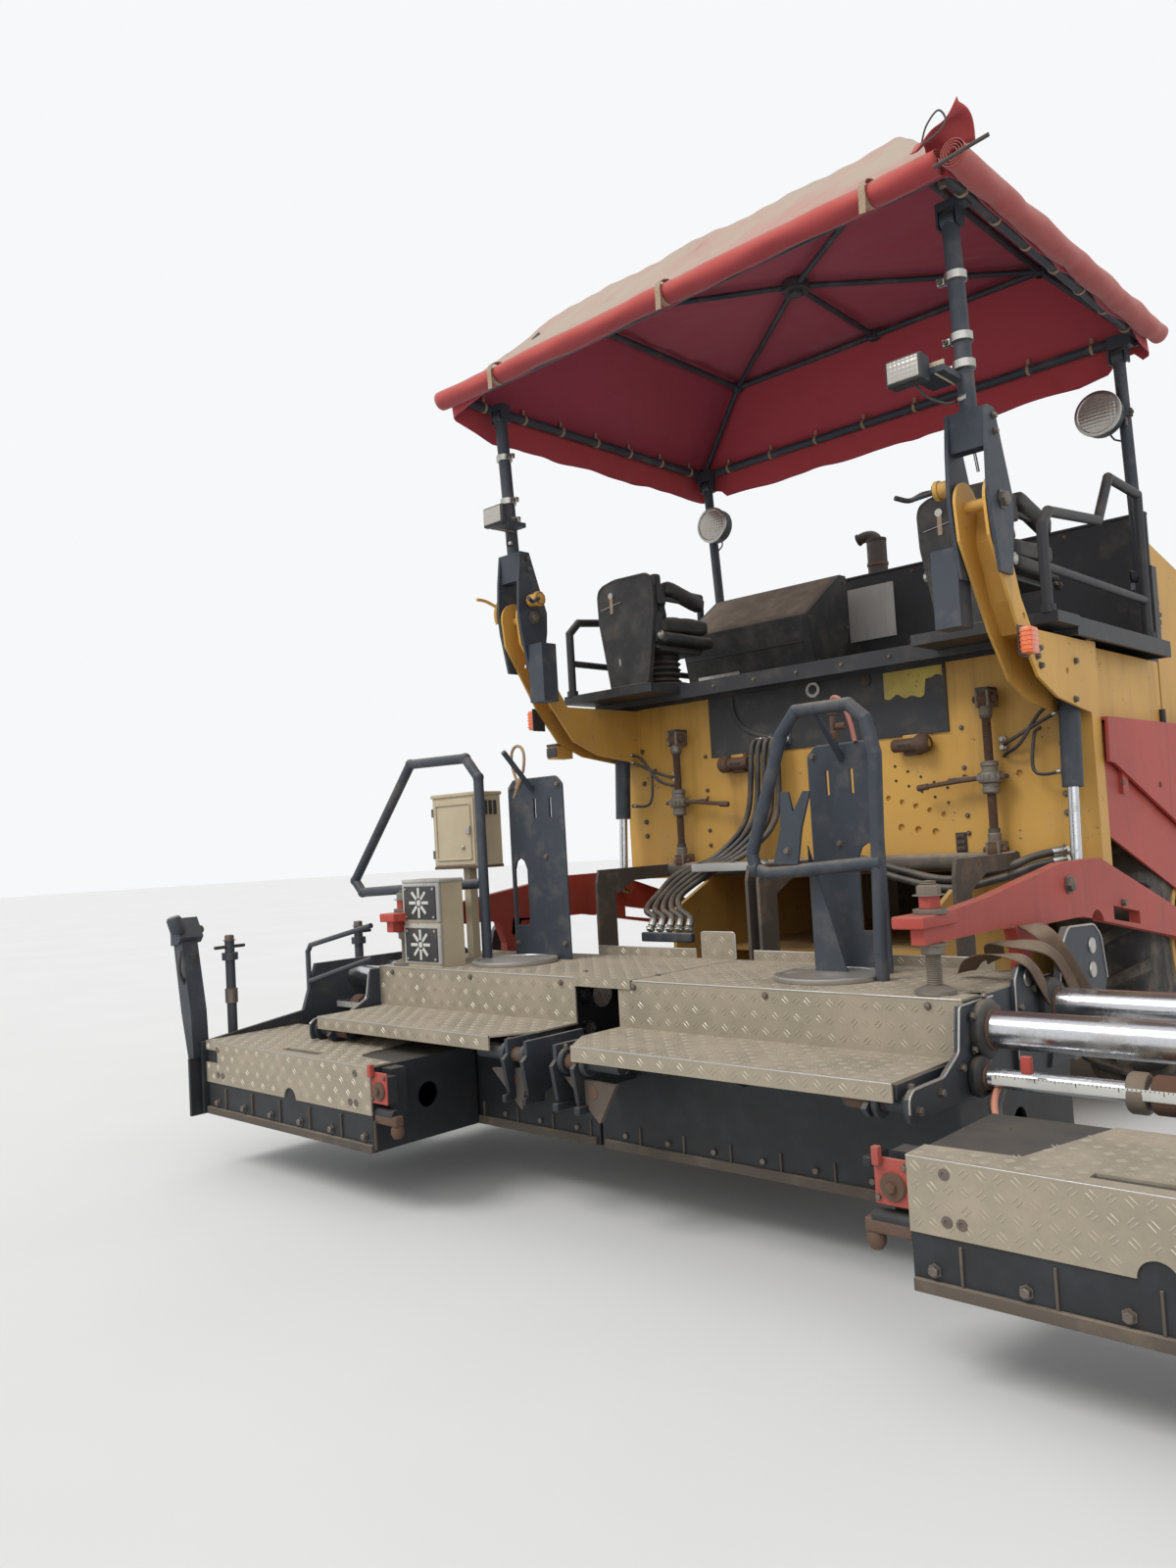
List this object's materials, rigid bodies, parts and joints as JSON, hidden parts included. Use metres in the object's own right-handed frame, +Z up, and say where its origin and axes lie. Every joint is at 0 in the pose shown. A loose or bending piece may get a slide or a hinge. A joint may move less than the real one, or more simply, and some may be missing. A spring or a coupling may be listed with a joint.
{
  "type": "wheeled asphalt paver",
  "caption": "Wheeled road paver with hopper, conveyor, augers, folding canopy and a lifting screed whose telescoping extensions widen the mat.",
  "frame": {"origin": "on the ground under the middle of the bounding box, with the screed extensions as they stand", "axes": "+Y is the travel direction, +X the machine's right-hand side, +Z up"},
  "size_m": [4.57, 6.435, 3.684],
  "materials": {
    "yellow_paint": "satin",
    "black_paint": "satin",
    "dark_steel": "rough",
    "red_paint": "satin",
    "slate_paint": "satin",
    "hose_rubber": "matte",
    "console_black": "matte",
    "seat_black": "worn",
    "canopy_sheet": "dusty",
    "tyre_rubber": "dusty",
    "rod_chrome": "polished",
    "tread_plate": "dusty",
    "cabinet_cream": "satin",
    "roller_steel": "worn"
  },
  "bodies": {
    "tractor": {"chassis": "yellow_paint", "fenders": "yellow_paint", "rear_axle": "dark_steel", "rear_body": "yellow_paint", "platform": "black_paint", "hood": "yellow_paint", "engine": "dark_steel", "side_cowls": "red_paint", "hopper_back": "red_paint", "conveyor": "dark_steel", "canopy_arms": "yellow_paint", "auger_frame": "dark_steel", "guard_rails": "black_paint", "hoses": "hose_rubber"},
    "hood_lid_body": {"hood_lid": "yellow_paint"},
    "console_body": {"console": "console_black"},
    "seat_left_body": {"seat_left": "seat_black"},
    "seat_right_body": {"seat_right": "seat_black"},
    "canopy_rear": {"rear_posts": "slate_paint"},
    "canopy_roof": {"roof_frame": "slate_paint", "canopy_cloth": "canopy_sheet"},
    "canopy_front": {"front_posts": "slate_paint"},
    "rear_wheel_left": {"rear_rim_left": "yellow_paint", "rear_tyre_left": "tyre_rubber"},
    "rear_wheel_right": {"rear_rim_right": "yellow_paint", "rear_tyre_right": "tyre_rubber"},
    "screed": {"tow_arms": "red_paint", "screed_frame": "slate_paint", "walkway_left": "tread_plate", "walkway_right": "tread_plate", "gas_rack_left": "slate_paint", "gas_rack_right": "slate_paint", "screed_cabinet": "cabinet_cream"},
    "ext_left": {"extension_left": "slate_paint", "tubes_left": "rod_chrome", "cover_left": "tread_plate"},
    "ext_right": {"extension_right": "slate_paint", "tubes_right": "rod_chrome", "cover_right": "tread_plate"},
    "barrel_left": {"lift_barrel_left": "slate_paint"},
    "barrel_right": {"lift_barrel_right": "slate_paint"},
    "rod_left": {"lift_rod_left": "rod_chrome"},
    "rod_right": {"lift_rod_right": "rod_chrome"},
    "wing_left_body": {"wing_left": "red_paint"},
    "wing_right_body": {"wing_right": "red_paint"},
    "auger_left_body": {"auger_left": "dark_steel"},
    "auger_right_body": {"auger_right": "dark_steel"},
    "push_beam_body": {"push_beam": "black_paint"},
    "roller_left": {"push_roller_left": "roller_steel"},
    "roller_right": {"push_roller_right": "roller_steel"},
    "bogie_left_body": {"bogie_left": "dark_steel"},
    "bogie_right_body": {"bogie_right": "dark_steel"},
    "steer_left_rear": {"knuckle_left_rear": "dark_steel"},
    "wheel_left_rear": {"front_wheel_left_rear": "tyre_rubber"},
    "steer_left_front": {"knuckle_left_front": "dark_steel"},
    "wheel_left_front": {"front_wheel_left_front": "tyre_rubber"},
    "steer_right_rear": {"knuckle_right_rear": "dark_steel"},
    "wheel_right_rear": {"front_wheel_right_rear": "tyre_rubber"},
    "steer_right_front": {"knuckle_right_front": "dark_steel"},
    "wheel_right_front": {"front_wheel_right_front": "tyre_rubber"}
  },
  "joints": [
    {"name": "screed_lift", "type": "hinge", "parent": "tractor", "child": "screed", "pos_m": [-0.385, 0.8625, 0.47], "axis": [1, 0, 0], "range_deg": [-2.5, 3]},
    {"name": "extension_left_run", "type": "slide", "parent": "screed", "child": "ext_left", "axis": [-1, 0, 0], "range_m": [-0.43, 0.82]},
    {"name": "extension_right_run", "type": "slide", "parent": "screed", "child": "ext_right", "axis": [1, 0, 0], "range_m": [-1.2, 0.05]},
    {"name": "lift_barrel_left_swing", "type": "hinge", "parent": "tractor", "child": "barrel_left", "pos_m": [-1.48, -1.2225, 1.74], "axis": [1, 0, 0], "range_deg": [-2.5, 2.5]},
    {"name": "lift_rod_left_slide", "type": "slide", "parent": "barrel_left", "child": "rod_left", "axis": [0, -0.0674, -0.9977], "range_m": [-0.1, 0.125]},
    {"name": "rear_wheel_left_spin", "type": "hinge", "parent": "tractor", "child": "rear_wheel_left", "pos_m": [-1.322, -0.0475, 0.69], "axis": [1, 0, 0], "continuous": true},
    {"name": "bogie_left_rock", "type": "hinge", "parent": "tractor", "child": "bogie_left_body", "pos_m": [-1.075, 2.2825, 0.45], "axis": [1, 0, 0], "range_deg": [-6, 6]},
    {"name": "steer_left_rear_turn", "type": "hinge", "parent": "bogie_left_body", "child": "steer_left_rear", "pos_m": [-1.12, 1.9525, 0.28], "axis": [0, 0, 1], "range_deg": [-15, 15]},
    {"name": "wheel_left_rear_spin", "type": "hinge", "parent": "steer_left_rear", "child": "wheel_left_rear", "pos_m": [-1.315, 1.9525, 0.28], "axis": [1, 0, 0], "continuous": true},
    {"name": "steer_left_front_turn", "type": "hinge", "parent": "bogie_left_body", "child": "steer_left_front", "pos_m": [-1.12, 2.6125, 0.28], "axis": [0, 0, 1], "range_deg": [-15, 15]},
    {"name": "wheel_left_front_spin", "type": "hinge", "parent": "steer_left_front", "child": "wheel_left_front", "pos_m": [-1.315, 2.6125, 0.28], "axis": [1, 0, 0], "continuous": true},
    {"name": "wing_left_fold", "type": "hinge", "parent": "tractor", "child": "wing_left_body", "pos_m": [-1.035, 2.1825, 0.72], "axis": [0, -1, 0], "range_deg": [0, 48]},
    {"name": "auger_left_spin", "type": "hinge", "parent": "tractor", "child": "auger_left_body", "pos_m": [-0.985, -1.6775, 0.48], "axis": [1, 0, 0], "continuous": true},
    {"name": "seat_left_swivel", "type": "hinge", "parent": "tractor", "child": "seat_left_body", "pos_m": [-1.22, -1.2175, 2], "axis": [0, 0, 1], "range_deg": [-30, 30]},
    {"name": "push_roller_left_spin", "type": "hinge", "parent": "push_beam_body", "child": "roller_left", "pos_m": [-0.865, 3.1425, 0.45], "axis": [1, 0, 0], "continuous": true},
    {"name": "lift_barrel_right_swing", "type": "hinge", "parent": "tractor", "child": "barrel_right", "pos_m": [0.71, -1.2225, 1.74], "axis": [1, 0, 0], "range_deg": [-2.5, 2.5]},
    {"name": "lift_rod_right_slide", "type": "slide", "parent": "barrel_right", "child": "rod_right", "axis": [0, -0.0674, -0.9977], "range_m": [-0.1, 0.125]},
    {"name": "rear_wheel_right_spin", "type": "hinge", "parent": "tractor", "child": "rear_wheel_right", "pos_m": [0.552, -0.0475, 0.69], "axis": [1, 0, 0], "continuous": true},
    {"name": "bogie_right_rock", "type": "hinge", "parent": "tractor", "child": "bogie_right_body", "pos_m": [0.305, 2.2825, 0.45], "axis": [1, 0, 0], "range_deg": [-6, 6]},
    {"name": "steer_right_rear_turn", "type": "hinge", "parent": "bogie_right_body", "child": "steer_right_rear", "pos_m": [0.35, 1.9525, 0.28], "axis": [0, 0, 1], "range_deg": [-15, 15]},
    {"name": "wheel_right_rear_spin", "type": "hinge", "parent": "steer_right_rear", "child": "wheel_right_rear", "pos_m": [0.545, 1.9525, 0.28], "axis": [1, 0, 0], "continuous": true},
    {"name": "steer_right_front_turn", "type": "hinge", "parent": "bogie_right_body", "child": "steer_right_front", "pos_m": [0.35, 2.6125, 0.28], "axis": [0, 0, 1], "range_deg": [-15, 15]},
    {"name": "wheel_right_front_spin", "type": "hinge", "parent": "steer_right_front", "child": "wheel_right_front", "pos_m": [0.545, 2.6125, 0.28], "axis": [1, 0, 0], "continuous": true},
    {"name": "wing_right_fold", "type": "hinge", "parent": "tractor", "child": "wing_right_body", "pos_m": [0.265, 2.1825, 0.72], "axis": [0, 1, 0], "range_deg": [0, 48]},
    {"name": "auger_right_spin", "type": "hinge", "parent": "tractor", "child": "auger_right_body", "pos_m": [0.215, -1.6775, 0.48], "axis": [1, 0, 0], "continuous": true},
    {"name": "seat_right_swivel", "type": "hinge", "parent": "tractor", "child": "seat_right_body", "pos_m": [0.45, -1.2175, 2], "axis": [0, 0, 1], "range_deg": [-30, 30]},
    {"name": "push_roller_right_spin", "type": "hinge", "parent": "push_beam_body", "child": "roller_right", "pos_m": [0.095, 3.1425, 0.45], "axis": [1, 0, 0], "continuous": true},
    {"name": "console_slide", "type": "slide", "parent": "tractor", "child": "console_body", "axis": [1, 0, 0], "range_m": [-0.05, 0.85]},
    {"name": "hood_lid_open", "type": "hinge", "parent": "tractor", "child": "hood_lid_body", "pos_m": [-0.06, 1.2825, 2.1405], "axis": [1, 0, 0], "range_deg": [-60, 0]},
    {"name": "push_beam_rock", "type": "hinge", "parent": "tractor", "child": "push_beam_body", "pos_m": [-0.385, 2.9925, 0.45], "axis": [0, 0, 1], "range_deg": [-3, 3]},
    {"name": "canopy_fold", "type": "hinge", "parent": "tractor", "child": "canopy_rear", "pos_m": [-0.385, -1.8655, 2.26], "axis": [1, 0, 0], "range_deg": [0, 50]},
    {"name": "canopy_roof_level", "type": "hinge", "parent": "canopy_rear", "child": "canopy_roof", "pos_m": [-0.385, -1.9355, 3.19], "axis": [1, 0, 0], "range_deg": [-50, 0]},
    {"name": "canopy_front_fold", "type": "hinge", "parent": "tractor", "child": "canopy_front", "pos_m": [-0.385, -0.3055, 2.23], "axis": [1, 0, 0], "range_deg": [0, 50]}
  ],
  "couplings": [
    {"joint": "canopy_roof_level", "follows": "canopy_fold", "ratio": -1},
    {"joint": "canopy_front_fold", "follows": "canopy_fold", "ratio": 1},
    {"joint": "lift_barrel_left_swing", "follows": "screed_lift", "ratio": -0.492},
    {"joint": "lift_rod_left_slide", "follows": "screed_lift", "m_per_rad": 2.16},
    {"joint": "lift_barrel_right_swing", "follows": "screed_lift", "ratio": -0.492},
    {"joint": "lift_rod_right_slide", "follows": "screed_lift", "m_per_rad": 2.16},
    {"joint": "steer_left_front_turn", "follows": "steer_left_rear_turn", "ratio": 1},
    {"joint": "steer_right_rear_turn", "follows": "steer_left_rear_turn", "ratio": 1},
    {"joint": "steer_right_front_turn", "follows": "steer_left_rear_turn", "ratio": 1}
  ]
}
